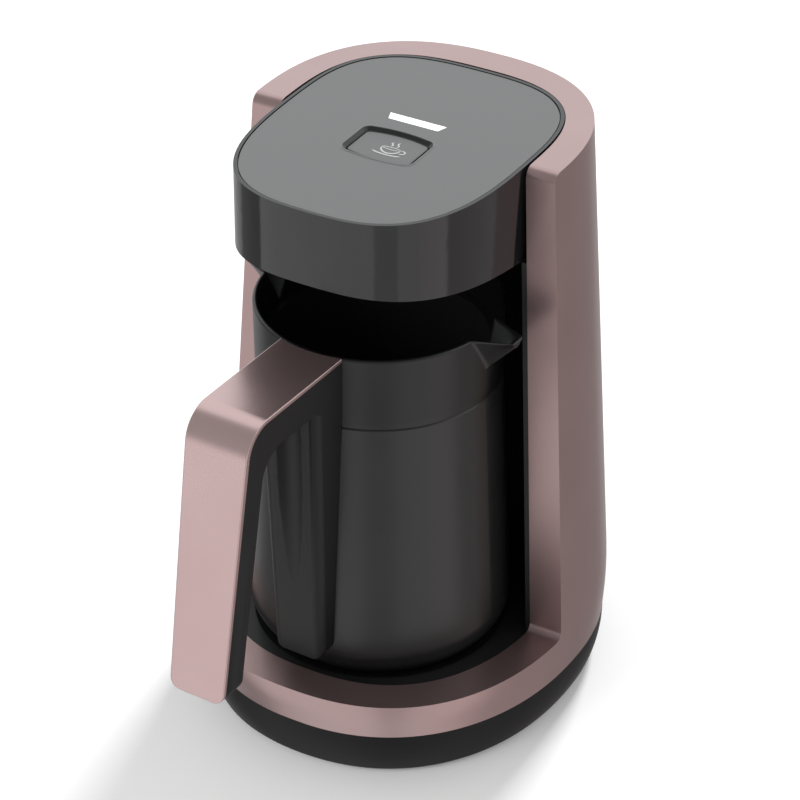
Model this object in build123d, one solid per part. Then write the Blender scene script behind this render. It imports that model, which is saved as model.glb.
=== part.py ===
from build123d import *
import math
import os

# Electric Turkish coffee maker: a horseshoe shell stands on a round-fronted base, holds the
# control head up and leaves an open bay for a lift-off pot with two spouts and one handle.
#
# Millimetres, +Z up, handle towards -Y, spouts towards +X and -X. While the pieces are made,
# z = 0 is the table and x = y = 0 is the middle of the head. At the end all of them move
# together along Y, so that the origin lies under the middle of the whole machine.

# ---------------------------------------------------------------- overall sizes
total_height = 235.5
foot_height = 1.0
base_top = 19.9            # joint between the base pan and the shell
ring_top = 37.6            # flat top of the ring that runs round the seat
skin = 2.5                 # thickness of the moulded shell and of the base pan
fit_gap = 0.3              # between pieces that are fitted together
outline_points = 24        # points of a full outline, placed by formula

# ---------------------------------------------------------------- shell
shell_top_half = 63.7
shell_top_depth = 67.8
ring_half = 76.0
ring_front = 93.3
ring_back = 77.8
shell_foot_half = 75.2
shell_foot_front = 88.8
shell_foot_back = 78.5
shell_waist_height = 130.0
shell_top_power = 2.38     # roundness of the outline: 2 is an ellipse, more is squarer
ring_front_power = 2.42
ring_back_power = 2.29
foot_power = 2.2
bay_ring_half = 62.2       # inside of the shell at the height of the ring
bay_ring_front = 78.4
bay_ring_back = 65.0
bay_front_power = 2.44
bay_back_power = 2.8
end_face_top = 7.3         # how far the end faces stand in front of x = y = 0, at the top
end_face_foot = 13.6       # and at the ring
end_top_round = 4.4
end_foot_round = 3.6
shell_edge_round = 1.0     # along the ring's two edges and up both sides of the end faces

# ---------------------------------------------------------------- base
base_waist_height = 10.0
base_waist_inset = 0.7
base_foot_inset = 3.6
base_edge_round = 2.4
lip_gap = 0.5
lip_wall = 1.5
tab_width = 24.0
lip_drop = 4.0
lip_rise = 3.0
foot_radius = 8.5
foot_recess = 1.2
foot_x = 46.0
foot_front_y = -50.0
foot_back_y = 46.0
column_radius = 4.5
column_seat_rise = 1.2
column_x = 20.0
column_front_y = -69.0
column_back_y = 59.0
screw_radius = 1.5
screw_head_radius = 3.0
screw_head_height = 1.8
inlet_height = 11.6
inlet_pocket_depth = 2.4
inlet_pocket_radius = 6.9
inlet_hole_radius = 5.5
inlet_boss_radius = 9.0
inlet_boss_depth = 8.0
cord_hole_radius = 3.4
vent_length = 26.0
vent_width = 2.4
vent_pitch = 6.0
vent_count = 6

# ---------------------------------------------------------------- seat and its connector
deck_top = 34.5
deck_thickness = 2.2
seat_floor = 31.0
seat_floor_radius = 42.0
seat_mouth_radius = 49.5
connector_radius = 16.8
connector_height = 12.0    # above the seat floor
connector_flange = connector_radius + 6.2
pin_radius = 3.0
pin_gap = 0.6
contact_ring_radius = 10.5
contact_ring_width = 1.6
slot_depth = 8.0

# ---------------------------------------------------------------- bay liner and power board
liner_wall = 2.2
liner_gap = 0.4
liner_back = 33.5          # depth of the bay behind the head's middle
standoff_reach = 6.0
board_thickness = 1.6
power_board_width = 64.0
power_board_low = 48.0
power_board_high = 148.0
standoff_x = 24.0
standoff_margin = 8.0

# ---------------------------------------------------------------- head
head_half = 50.9
head_front = 73.5
head_back = 53.4
head_front_power = 2.9
head_back_power = 3.0
head_gap = 1.0             # between the head and the shell's inner face
head_flare = 0.25
head_depth = 39.6          # from the lid down to the lower edge, over x = y = 0
head_underside = total_height - head_depth
head_slope = 7.57          # degrees; the lower edge rises towards the front
band_wall = 2.6
rim_width = 1.3
lid_gap = 0.4
lid_thickness = 2.2
lid_sink = 0.2
underside_sink = 1.2
underside_thickness = 2.0
boss_radius = 4.0
boss_x = head_half - 9.9
boss_front_y = -36.0
boss_back_y = 6.0

# ---------------------------------------------------------------- button and indicator
button_width = 27.2        # opening in the lid, below its bevel
button_depth = 20.4
button_bulge = 2.0
button_corner = 2.4
button_y = -16.5
button_gap = 0.6
button_sink = 1.1
bevel_width = 1.5
bevel_depth = 1.3
button_height = 3.6
button_stem_radius = 3.0
button_travel = 1.0
guide_wall = 1.4
guide_drop = 6.5
indicator_back_width = 24.0
indicator_front_width = 21.0
indicator_depth = 4.5
indicator_y = 4.1

# ---------------------------------------------------------------- control board
control_board_drop = 15.5
control_board_top = total_height - control_board_drop
control_board_width = 2 * head_half - 39.8
control_board_front = -40.0
control_board_back = 24.0
post_x = control_board_width / 2 - 5.0
post_front_y = -34.0
post_back_y = 18.0
post_radius = 3.2
switch_size = 12.0
switch_height = 4.0
plunger_radius = 2.0
plunger_height = 1.6
buzzer_radius = 6.0
buzzer_height = 7.5
sensor_radius = 6.0
sensor_y = -30.0

# ---------------------------------------------------------------- pot
pot_axis_y = -23.1
pot_turn = -2.6            # degrees that the pot stands turned on its round connector
pot_seat_gap = 0.2
rim_height = 175.5
seam_height = 145.8
seam_radius = 46.8
rim_radius = seam_radius + 0.3
seam_groove = 0.5          # bevel on both sides of the joint between jacket and collar
belly_radius = 51.8
pot_bottom_round = 15.0
jacket_wall = 2.2
jacket_opening = 34.0
collar_wall = 2.0
collar_step_height = 155.0
spigot_drop = 6.0
spigot_wall = 1.6
cup_wall = 0.8
cup_floor = 54.0
cup_floor_radius = seam_radius - 4.2
cup_corner = 9.0
cup_lip = 1.2
seal_height = 2.0
spout_reach = 60.5
spout_tip_half = 5.0
spout_root_half = 11.2
spout_keel_height = 159.5
spout_lip = 2.6
spout_wall = 1.6
heater_thickness = 3.0
heater_radius = cup_floor_radius - 8.6
element_radius = heater_radius - 4.0
element_tube = 3.0
element_mouth = 8.0
sensor_button_radius = 7.0
sensor_button_height = 4.8
socket_wall = 3.0
socket_flange = 25.0
socket_flange_thickness = 1.6
cover_thickness = 2.2
pin_length = 7.5

# ---------------------------------------------------------------- pot handle
strip_thickness = 1.6
strip_edge_round = 0.6
leg_edge_round = 1.2
strip_top_half = 13.4
strip_foot_half = 11.8
handle_top = 176.0
handle_foot = 68.0
handle_bend_radius = 13.5
handle_reach_top = 103.8   # from the pot's axis to the corner of the bend
handle_reach_foot = 123.1
leg_thickness = 13.0
bar_thickness = 15.5
column_front_top = 61.5
column_front_foot = 58.0
column_foot = 46.0
column_foot_half = 11.0
column_top_half = 13.2
column_round = 4.2
column_corner = 5.0
gap_round = 12.0
handle_corner = 4.5
handle_screw_heights = (68.0, 128.0)
handle_screw_radius = 1.8
handle_screw_length = 6.0


# ================================================================ helpers
def outline(half, front, back, front_power, back_power, z):
    """Closed superellipse outline at height z, with its own depth and roundness each way."""
    points = []
    for i in range(outline_points):
        turn = 2 * math.pi * (i + 0.5) / outline_points
        c, s = math.cos(turn), math.sin(turn)
        power = back_power if s > 0 else front_power
        depth = back if s > 0 else front
        reach = (abs(c) ** power + abs(s) ** power) ** (-1 / power)
        points.append((half * c * reach, depth * s * reach, z))
    return Face(Wire([Spline(*points, periodic=True)]))


def between(z, low_z, low, high_z, high):
    """Value on the straight line through (low_z, low) and (high_z, high)."""
    return low + (high - low) * (z - low_z) / (high_z - low_z)


def side_prism(points, radii, half_width):
    """Outline in the Y-Z plane with rounded corners, extruded to both sides of x = 0."""
    wire = FilletPolyline(*points, radius=radii, close=True)
    return extrude(Plane.YZ * make_face(wire), half_width, both=True)


def front_prism(points, radii, y_near, y_far):
    """Outline in the X-Z plane with rounded corners, extruded from y_near to y_far."""
    wire = FilletPolyline(*points, radius=radii, close=True)
    face = Plane.XZ.offset(-y_near) * make_face(wire)
    return extrude(face, y_near - y_far)


def spun(points, radii=None):
    """Outline of (radius, height) points turned round the Z axis."""
    wire = FilletPolyline(*points, radius=radii or [0] * len(points), close=True)
    return revolve(Plane.XZ * make_face(wire), Axis.Z)


def rod(x, y, z, radius, height):
    """Upright cylinder that stands on height z."""
    return Pos(x, y, z) * Cylinder(radius, height, align=(Align.CENTER, Align.CENTER, Align.MIN))


def rod_along_y(x, y, z, radius, length):
    """Level cylinder from y towards +Y."""
    turned = Pos(x, y, z) * Rot(-90, 0, 0)
    return turned * Cylinder(radius, length, align=(Align.CENTER, Align.CENTER, Align.MIN))


def block(x, y, z, width, depth, height):
    """Box centred on x and y that stands on height z."""
    return Pos(x, y, z) * Box(width, depth, height, align=(Align.CENTER, Align.CENTER, Align.MIN))


def group(pieces):
    """Separate solids of one node."""
    solids = [solid for piece in pieces for solid in piece.solids()]
    return Compound(children=solids)


def four_places(x, front_y, back_y):
    return [(-x, front_y), (x, front_y), (-x, back_y), (x, back_y)]


def screw_up(x, y, z, length):
    """Pan-head screw driven upwards, its head's underside face at height z."""
    head = rod(x, y, z - screw_head_height, screw_head_radius, screw_head_height)
    return head + rod(x, y, z, screw_radius, length)


def screw_down(x, y, z, length):
    """Pan-head screw driven downwards, its head standing on height z."""
    head = rod(x, y, z, screw_head_radius, screw_head_height)
    return head + rod(x, y, z - length, screw_radius, length)


# ================================================================ shell
def shell_outside(inset, high):
    """Flared outer form of the shell, pulled in by inset, from its foot up to a height."""
    def half(z):
        return between(z, ring_top, ring_half, total_height, shell_top_half) - inset

    def back(z):
        return between(z, ring_top, ring_back, total_height, shell_top_depth) - inset

    def front(z):
        return between(z, ring_top, ring_front, total_height, shell_top_depth) - inset

    sections = [outline(shell_foot_half - inset, shell_foot_front - inset,
                        shell_foot_back - inset, foot_power, foot_power, base_top)]
    for z in (ring_top, shell_waist_height, high):
        front_power = between(z, ring_top, ring_front_power, total_height, shell_top_power)
        back_power = between(z, ring_top, ring_back_power, total_height, shell_top_power)
        sections.append(outline(half(z), front(z), back(z), front_power, back_power, z))
    return loft(sections)


def bay_half(z):
    return between(z, ring_top, bay_ring_half, total_height, head_half + head_gap)


def bay_back(z):
    return between(z, ring_top, bay_ring_back, total_height, head_back + head_gap)


def bay_inside(outset, low, high):
    """Tapered space inside the shell, pushed out by outset, between two heights."""
    sections = []
    for z in (low, high):
        half = bay_half(z) + outset
        back = bay_back(z) + outset
        front = between(z, ring_top, bay_ring_front, total_height, head_front) + outset
        sections.append(outline(half, front, back, bay_front_power, bay_back_power, z))
    return loft(sections, ruled=True)


def end_face_y(z, inset=0.0):
    """Place of the shell's leaning end faces at height z."""
    return inset - between(z, ring_top, end_face_foot, total_height, end_face_top)


def front_clearance(inset):
    """Everything in front of the end faces and above the ring or the top, pulled in by inset."""
    floor = ring_top - inset
    ceiling = total_height - inset
    reach = 2 * ring_front
    points = [
        (-reach, floor),
        (end_face_y(floor, inset), floor),
        (end_face_y(ceiling, inset), ceiling),
        (reach, ceiling),
        (reach, total_height + 20),
        (-reach, total_height + 20),
    ]
    radii = [0, end_foot_round, end_top_round - min(inset, 2.0), 0, 0, 0]
    return side_prism(points, radii, reach)


def front_edges(body):
    """Curved edges in front of the shell's sides: along the ring and up the end faces."""
    return [edge for edge in body.edges()
            if edge.bounding_box().max.Y < 0 and edge.geom_type != GeomType.LINE]


def outer_shell():
    low, high = base_top, total_height + 2
    body = shell_outside(0, high) - front_clearance(0)
    body -= bay_inside(0, low - 1, high + 1)
    body = fillet(front_edges(body), shell_edge_round)
    hollow = shell_outside(skin, high) - front_clearance(skin)
    hollow -= bay_inside(skin, low - 1, high + 1)
    return body - hollow


# ================================================================ base
def base_outline(inset, z):
    return outline(shell_foot_half - inset, shell_foot_front - inset, shell_foot_back - inset,
                   foot_power, foot_power, z)


def base_outside(inset, low, high):
    """Shallow bowl form of the base pan, pulled in by inset, between two heights."""
    sections = []
    for z, pull in ((low, base_foot_inset), (base_waist_height, base_waist_inset), (high, 0)):
        sections.append(base_outline(inset + pull, z))
    return loft(sections)


def locating_tabs():
    """Upright tabs inside the pan's rim that reach up into the shell's foot."""
    low = base_top - lip_drop
    ring = extrude(base_outline(skin - 0.5, low), lip_drop)
    ring += extrude(base_outline(skin + lip_gap, low), lip_drop + lip_rise)
    ring -= extrude(base_outline(skin + lip_gap + lip_wall, low - 1), lip_drop + lip_rise + 2)
    reach = 2 * ring_front
    across = block(0, 0, low, 2 * reach, tab_width, lip_drop + lip_rise)
    along = block(0, 0, low, tab_width, 2 * reach, lip_drop + lip_rise)
    return ring & (across + along)


def base_floor():
    return foot_height + skin


def column_seat():
    """Height in the pan that the seat deck's columns stand on."""
    return base_floor() + column_seat_rise


def inlet_wall_y():
    """Outer face of the base pan's back wall at the cord inlet."""
    return shell_foot_back - base_waist_inset


def base_pan():
    tub = base_outside(0, foot_height, base_top)
    tub = fillet(tub.edges().group_by(Axis.Z)[0], base_edge_round)
    tub -= base_outside(skin, base_floor(), base_top + 1)
    tub += locating_tabs()
    for x, y in four_places(foot_x, foot_front_y, foot_back_y):
        tub -= rod(x, y, foot_height, foot_radius + 0.2, foot_recess)
    for x, y in four_places(column_x, column_front_y, column_back_y):
        tub += rod(x, y, foot_height, column_radius + 1.5, column_seat() + 1.5 - foot_height)
        tub -= rod(x, y, foot_height, screw_head_radius + 0.4, screw_head_height + 0.4)
        tub -= rod(x, y, foot_height, screw_radius + 0.2, skin + 3)
        tub -= rod(x, y, column_seat(), column_radius + 0.15, skin)
    for i in range(vent_count):
        y = (i - (vent_count - 1) / 2) * vent_pitch
        slot = Pos(0, y, foot_height - 1) * extrude(SlotOverall(vent_length, vent_width), skin + 2)
        tub -= slot
    y = inlet_wall_y()
    boss = rod_along_y(0, y - inlet_boss_depth, inlet_height, inlet_boss_radius, 20)
    tub += boss & base_outside(0.5, foot_height + 0.5, base_top)
    tub -= rod_along_y(0, y - inlet_pocket_depth, inlet_height, inlet_pocket_radius + 0.2, 20)
    tub -= rod_along_y(0, y - 20, inlet_height, inlet_hole_radius + 0.1, 40)
    return tub


def rubber_feet():
    height = foot_height + foot_recess
    feet = []
    for x, y in four_places(foot_x, foot_front_y, foot_back_y):
        foot = rod(x, y, 0, foot_radius, height)
        feet.append(chamfer(foot.edges().group_by(Axis.Z)[0], 0.5))
    return group(feet)


def cord_gland():
    """Grommet in the back wall that the mains lead goes through."""
    face = inlet_wall_y() - inlet_pocket_depth + 0.05
    inner = inlet_wall_y() - inlet_boss_depth - 3.0
    body = rod_along_y(0, inner, inlet_height, inlet_hole_radius, face + 2 - inner)
    collar = rod_along_y(0, face, inlet_height, inlet_pocket_radius, 2.0)
    keeper = rod_along_y(0, inner, inlet_height, inlet_pocket_radius, 2.8)
    hole = rod_along_y(0, inner - 1, inlet_height, cord_hole_radius, 30)
    return body + collar + keeper - hole


def base_screws():
    length = deck_top - deck_thickness - foot_height - 12
    head_face = foot_height + screw_head_height + 0.4
    places = four_places(column_x, column_front_y, column_back_y)
    return group([screw_up(x, y, head_face, length) for x, y in places])


# ================================================================ seat
def to_pot_axis(piece):
    return Pos(0, pot_axis_y, 0) * piece


def seat_deck():
    low = deck_top - deck_thickness
    plate = bay_inside(-fit_gap, low, deck_top)
    bowl_low = seat_floor - deck_thickness
    plate += to_pot_axis(rod(0, 0, bowl_low, seat_mouth_radius + deck_thickness,
                             deck_top - bowl_low))
    dish = [(0, seat_floor), (seat_floor_radius, seat_floor),
            (seat_mouth_radius, deck_top), (seat_mouth_radius, deck_top + 5), (0, deck_top + 5)]
    plate -= to_pot_axis(spun(dish, [0, 2.0, 0, 0, 0]))
    plate -= to_pot_axis(rod(0, 0, 0, connector_radius + 0.3, deck_top))
    foot_z = column_seat()
    for x, y in four_places(column_x, column_front_y, column_back_y):
        plate += rod(x, y, foot_z, column_radius, low - foot_z + 0.5)
        plate -= rod(x, y, foot_z - 1, screw_radius, low - foot_z - 3)
    plate -= block(0, liner_back + 16, low - 1, 40, 12, 10)
    for x, y in connector_screw_places():
        plate -= to_pot_axis(rod(x, y, bowl_low - 1, screw_radius, 2.4))
    return plate


def base_connector():
    """Round socket that the pot drops onto at any angle."""
    flange_top = seat_floor - deck_thickness
    body = rod(0, 0, flange_top, connector_radius, seat_floor + connector_height - flange_top)
    body = fillet(body.edges().group_by(Axis.Z)[-1], 1.2)
    body += rod(0, 0, flange_top - 2.4, connector_flange, 2.4)
    body += rod(0, 0, flange_top - 9, connector_radius - 2, 9)
    top = seat_floor + connector_height
    body -= rod(0, 0, top - slot_depth, pin_radius + pin_gap, slot_depth)
    groove = rod(0, 0, top - slot_depth, contact_ring_radius + contact_ring_width, slot_depth)
    groove -= rod(0, 0, top - slot_depth - 1, contact_ring_radius - contact_ring_width, 20)
    for x, y in connector_screw_places():
        body -= rod(x, y, flange_top - 5, screw_radius + 0.2, 5)
    return to_pot_axis(body - groove)


def contact_rings():
    """Brass contacts at the bottom of the connector's hole and of its ring slot."""
    low = seat_floor + connector_height - slot_depth
    centre = rod(0, 0, low, pin_radius, 1.2)
    ring = rod(0, 0, low, contact_ring_radius + contact_ring_width - 0.2, 1.2)
    ring -= rod(0, 0, low - 1, contact_ring_radius - contact_ring_width + 0.2, 4)
    return group([to_pot_axis(centre), to_pot_axis(ring)])


def connector_screw_places():
    radius = connector_flange - 3.2
    return [(radius * math.cos(math.radians(a)), radius * math.sin(math.radians(a)))
            for a in (90, 210, 330)]


def connector_screws():
    z = seat_floor - deck_thickness - 2.4
    return group([to_pot_axis(screw_up(x, y, z, 3.6)) for x, y in connector_screw_places()])


# ================================================================ bay liner and power board
def liner_surface(outset, low, high):
    sections = []
    for z in (low, high):
        half = bay_half(z) - liner_gap - liner_wall + outset
        sections.append(outline(half, bay_ring_front, liner_back + outset,
                                bay_front_power, bay_back_power, z))
    return loft(sections, ruled=True)


def below_head(drop):
    """Everything below the head's sloping lower edge, less drop."""
    slope = math.tan(math.radians(head_slope))
    reach = 2 * ring_front
    points = [(-reach, 0), (reach, 0),
              (reach, head_underside - reach * slope - drop),
              (-reach, head_underside + reach * slope - drop)]
    return side_prism(points, [0] * 4, reach)


def power_board_face():
    """The power board's front face."""
    return liner_back + liner_wall + standoff_reach - 2


def standoff_places():
    low = power_board_low + standoff_margin
    high = power_board_high - standoff_margin
    return [(x, z) for x in (-standoff_x, standoff_x) for z in (low, high)]


def bay_liner():
    low, high = deck_top, total_height
    wall = liner_surface(liner_wall, low, high) - liner_surface(0, low - 1, high + 1)
    wall &= below_head(fit_gap)
    reach = 2 * ring_front
    end_cut = [(-reach, 0), (end_face_y(0) + 1, 0),
               (end_face_y(total_height) + 1, total_height), (-reach, total_height)]
    wall -= side_prism(end_cut, [0] * 4, reach)
    root = liner_back + 1.0
    for x, z in standoff_places():
        wall += rod_along_y(x, root, z, 3.5, power_board_face() - root)
        wall -= rod_along_y(x, root + 1, z, screw_radius, 20)
    return wall


def power_board():
    face = power_board_face()
    height = power_board_high - power_board_low
    board = block(0, face + board_thickness / 2, power_board_low,
                  power_board_width, board_thickness, height)
    for x, z in standoff_places():
        board -= rod_along_y(x, face - 1, z, screw_radius + 0.2, 5)
    return board


def power_board_screws():
    back = power_board_face() + board_thickness
    screws = []
    for x, z in standoff_places():
        head = rod_along_y(x, back, z, screw_head_radius, screw_head_height)
        screws.append(head + rod_along_y(x, back - 5, z, screw_radius, 5))
    return group(screws)


def on_power_board(x, z, width, height, depth):
    back = power_board_face() + board_thickness
    part = block(x, back + depth / 2, z, width, depth, height)
    return fillet(part.edges().filter_by(Axis.Y), 1.0)


def power_relay():
    return on_power_board(-14, 112, 19, 15.5, 15)


def relay_capacitor():
    return on_power_board(12, 112, 18, 11, 12)


def terminal_block():
    back = power_board_face() + board_thickness
    part = on_power_board(0, 62, 30, 12, 10)
    for i in (-1, 0, 1):
        part -= rod_along_y(i * 9.5, back + 4, 68, 2.4, 12)
    return part


# ================================================================ head
def head_outline(inset, z, flare=0.0):
    return outline(head_half - inset + flare, head_front - inset + flare,
                   head_back - inset + flare, head_front_power, head_back_power, z)


def head_form(inset, low, high):
    """The head's nearly upright outer form, pulled in by inset."""
    foot = head_underside - 10
    flare_low = between(low, total_height, 0, foot, head_flare)
    flare_high = between(high, total_height, 0, foot, head_flare)
    return loft([head_outline(inset, low, flare_low), head_outline(inset, high, flare_high)],
                ruled=True)


def lid_underside():
    return total_height - lid_sink - lid_thickness


def head_housing():
    low = head_underside - 12
    band = head_form(0, low, total_height)
    band -= head_form(band_wall, low - 1, total_height + 1)
    band -= head_form(rim_width, lid_underside(), total_height + 1)
    for x, y in four_places(boss_x, boss_front_y, boss_back_y):
        boss = rod(x, y, low, boss_radius, lid_underside() - 4 - low)
        web = block(math.copysign(boss_x + 5, x), y, low, 10, 3, lid_underside() - 4 - low)
        band += (boss + web) & head_form(0.5, low - 1, total_height)
    above_underside = underside_sink + underside_thickness + 0.05
    band -= below_head(-above_underside) & head_form(band_wall, low - 1, total_height)
    band -= below_head(0)
    for x, y in four_places(boss_x, boss_front_y, boss_back_y):
        band -= rod(x, y, low, screw_radius, head_underside - low + 18)
    return band


def underside_height(y):
    """Upper face of the underside cover, over the given y."""
    slope = math.tan(math.radians(head_slope))
    return head_underside - y * slope + underside_sink + underside_thickness


def head_underside_cover():
    low = head_underside - 12
    plate = head_form(band_wall + fit_gap, low, total_height)
    plate &= below_head(-(underside_sink + underside_thickness))
    plate -= below_head(-underside_sink)
    plate -= to_pot_axis(rod(0, sensor_y - pot_axis_y, low, sensor_radius + 0.1, 60))
    for x, y in four_places(boss_x, boss_front_y, boss_back_y):
        plate -= rod(x, y, low, screw_radius + 0.2, 60)
    plate -= block(0, liner_back + 10, low, 30, 10, 60)
    board_low = control_board_top - board_thickness
    for x, y in four_places(post_x, post_front_y, post_back_y):
        root = underside_height(y) - 1.5
        plate += rod(x, y, root, post_radius, board_low - root)
        plate -= rod(x, y, board_low - 8, screw_radius, 10)
    return plate


def head_screws():
    screws = []
    for x, y in four_places(boss_x, boss_front_y, boss_back_y):
        face = underside_height(y) - underside_thickness - 0.6
        screws.append(screw_up(x, y, face, 9))
    return group(screws)


def button_outline(grow):
    """Outline of the button opening, grown by grow: bowed front and back, rounded corners."""
    x, y = button_width / 2 + grow, button_depth / 2 + grow
    bowed = y - button_bulge
    back = ThreePointArc((-x, bowed), (0, y), (x, bowed))
    front = ThreePointArc((x, -bowed), (0, -y), (-x, -bowed))
    right = Line((x, bowed), (x, -bowed))
    left = Line((-x, -bowed), (-x, bowed))
    face = make_face([back, right, front, left])
    return Pos(0, button_y, 0) * fillet(face.vertices(), button_corner + grow)


def indicator_outline(gap):
    back, front = indicator_back_width / 2 - gap, indicator_front_width / 2 - gap
    y = indicator_depth / 2 - gap
    points = [(-front, -y), (front, -y), (back, y), (-back, y)]
    return Pos(0, indicator_y, 0) * make_face(Polyline(*points, close=True))


def lid_panel():
    top = total_height - lid_sink
    lid = head_form(rim_width + lid_gap, top - lid_thickness, top)
    guide = button_outline(guide_wall)
    lid += Pos(0, 0, top - guide_drop) * extrude(guide, guide_drop - lid_thickness + 0.5)
    lid -= Pos(0, 0, top - guide_drop - 1) * extrude(button_outline(0), guide_drop + 2)
    lid -= loft([Pos(0, 0, top - bevel_depth) * button_outline(0.02),
                 Pos(0, 0, top + 0.1) * button_outline(bevel_width)], ruled=True)
    lid -= Pos(0, 0, top - 5) * extrude(indicator_outline(0), 10)
    return lid


def brew_button():
    top = total_height - lid_sink - button_sink
    cap = Pos(0, 0, top - button_height) * extrude(button_outline(-button_gap), button_height)
    cap = fillet(cap.edges().group_by(Axis.Z)[-1], 0.4)
    hollow = button_outline(-button_gap - 1.5)
    cap -= Pos(0, 0, top - button_height) * extrude(hollow, button_height - 1.6)
    stem_low = switch_top() + plunger_height
    return cap + rod(0, button_y, stem_low, button_stem_radius, top - 1 - stem_low)


def switch_top():
    return control_board_top + switch_height


def switch_body():
    body = block(0, button_y, control_board_top, switch_size, switch_size, switch_height)
    body = fillet(body.edges().filter_by(Axis.Z), 1.0)
    return body - rod(0, button_y, control_board_top + 1.5, plunger_radius + 0.15, switch_height)


def switch_plunger():
    low = control_board_top + 1.5 + button_travel + 0.3
    return rod(0, button_y, low, plunger_radius, switch_top() + plunger_height - low)


def light_guide():
    """Frosted bar that carries the lamp's light to the lid."""
    top = total_height - lid_sink
    bar = Pos(0, 0, top - lid_thickness - 1) * extrude(indicator_outline(0.1), lid_thickness + 1)
    low = control_board_top + 3.2
    return bar + block(0, indicator_y, low, 8, indicator_depth - 1, top - lid_thickness - low)


def indicator_lamp():
    lamp = block(0, indicator_y, control_board_top, 5, 5, 2.8)
    return fillet(lamp.edges().filter_by(Axis.Z), 0.6)


def control_board():
    depth = control_board_back - control_board_front
    middle = (control_board_back + control_board_front) / 2
    board = block(0, middle, control_board_top - board_thickness,
                  control_board_width, depth, board_thickness)
    board = fillet(board.edges().filter_by(Axis.Z), 3)
    for x, y in four_places(post_x, post_front_y, post_back_y):
        board -= rod(x, y, control_board_top - 5, screw_radius + 0.2, 10)
    return board


def board_screws():
    places = four_places(post_x, post_front_y, post_back_y)
    return group([screw_down(x, y, control_board_top, 6) for x, y in places])


def buzzer():
    body = rod(-18, 4, control_board_top, buzzer_radius, buzzer_height)
    return body - rod(-18, 4, control_board_top + buzzer_height - 2, 1.2, 3)


def sensor_flange_height():
    """The window's flange rests on the highest point of the sloping cover round its hole."""
    return underside_height(sensor_y - sensor_radius - 2) + 0.05


def sensor_window():
    """Lens under the head that looks down into the pot."""
    flange_low = sensor_flange_height()
    low = flange_low - underside_thickness - 2.0
    lens = rod(0, sensor_y, low, sensor_radius, flange_low - low)
    lens = fillet(lens.edges().group_by(Axis.Z)[0], 1.0)
    return lens + rod(0, sensor_y, flange_low, sensor_radius + 2, 1.2)


def boil_sensor():
    low = sensor_flange_height() + 1.2
    return fillet(block(0, sensor_y, low, 16, 12, 6).edges().filter_by(Axis.Z), 1.0)


# ================================================================ pot
def pot_low():
    return seat_floor + pot_seat_gap


def pot_outside(grow):
    """The pot's turned outer form, for cutting what is fitted against it."""
    points = [(0, pot_low()), (belly_radius + grow, pot_low()),
              (seam_radius + grow, seam_height), (rim_radius + grow, rim_height),
              (rim_radius + grow, rim_height + 10), (0, rim_height + 10)]
    return spun(points, [0, pot_bottom_round, 0, 0, 0, 0])


def pot_jacket():
    low = pot_low()
    wall = jacket_wall
    points = [
        (jacket_opening, low),
        (belly_radius, low),
        (seam_radius, seam_height - seam_groove),
        (seam_radius - seam_groove, seam_height),
        (seam_radius - wall, seam_height),
        (belly_radius - wall, low + wall),
        (jacket_opening, low + wall),
    ]
    jacket = spun(points, [0, pot_bottom_round, 0, 0, 0, pot_bottom_round - wall, 0])
    for z in handle_screw_heights:
        jacket -= rod_along_y(0, -belly_radius - 5, z, handle_screw_radius + 0.2, 15)
    return jacket


def spout_wedge(inset, rise):
    """Tapered beak of a spout on the +X side; inset thins it and rise lifts its open top."""
    root_x = rim_radius - 7
    tip_x = spout_reach - inset
    widths = between(root_x, rim_radius - 3, spout_root_half, spout_reach, spout_tip_half)
    keel_rise = (rim_height - spout_lip - spout_keel_height) / (spout_reach - rim_radius)
    faces = []
    for x in (root_x, tip_x):
        half = between(x, root_x, widths, spout_reach, spout_tip_half) - inset
        keel = spout_keel_height + keel_rise * (x - rim_radius) + 1.2 * inset
        points = [(half, rim_height + rise), (half, rim_height), (1.0, keel),
                  (-1.0, keel), (-half, rim_height), (-half, rim_height + rise)]
        if rise == 0:
            points = points[1:5]
        faces.append(Plane.YZ.offset(x) * make_face(Polyline(*points, close=True)))
    return loft(faces, ruled=True)


def collar_inside():
    """Space inside the collar, above and below the step that the cup's lip sits on."""
    mouth = rim_radius - collar_wall
    throat = seam_radius - jacket_wall - fit_gap - spigot_wall
    low = seam_height - spigot_drop - 1
    points = [(0, low), (throat, low), (throat, collar_step_height),
              (mouth, collar_step_height), (mouth, rim_height + 5), (0, rim_height + 5)]
    return spun(points)


def pot_collar():
    spigot = seam_radius - jacket_wall - fit_gap
    points = [(0, seam_height - spigot_drop), (spigot, seam_height - spigot_drop),
              (spigot, seam_height), (seam_radius - seam_groove, seam_height),
              (seam_radius, seam_height + seam_groove), (rim_radius, rim_height),
              (0, rim_height)]
    collar = spun(points)
    wedge = spout_wedge(0, 0)
    channel = spout_wedge(spout_wall, 4)
    for turn in (0, 180):
        collar += Rot(0, 0, turn) * wedge
    for turn in (0, 180):
        collar -= Rot(0, 0, turn) * channel
    return collar - collar_inside()


def cup_radius():
    """Outer radius of the steel cup where it passes through the collar."""
    return seam_radius - jacket_wall - fit_gap - spigot_wall - fit_gap


def pot_cup():
    lip_low = collar_step_height + seal_height
    lip_radius = rim_radius - collar_wall - fit_gap
    wall = cup_wall
    points = [
        (0, cup_floor),
        (cup_floor_radius, cup_floor),
        (cup_radius(), lip_low),
        (lip_radius, lip_low),
        (lip_radius, lip_low + cup_lip),
        (cup_radius() - wall, lip_low + cup_lip),
        (cup_floor_radius - wall, cup_floor + wall),
        (0, cup_floor + wall),
    ]
    return spun(points, [0, cup_corner, 0, 0, 0, 0, cup_corner - wall, 0])


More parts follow.
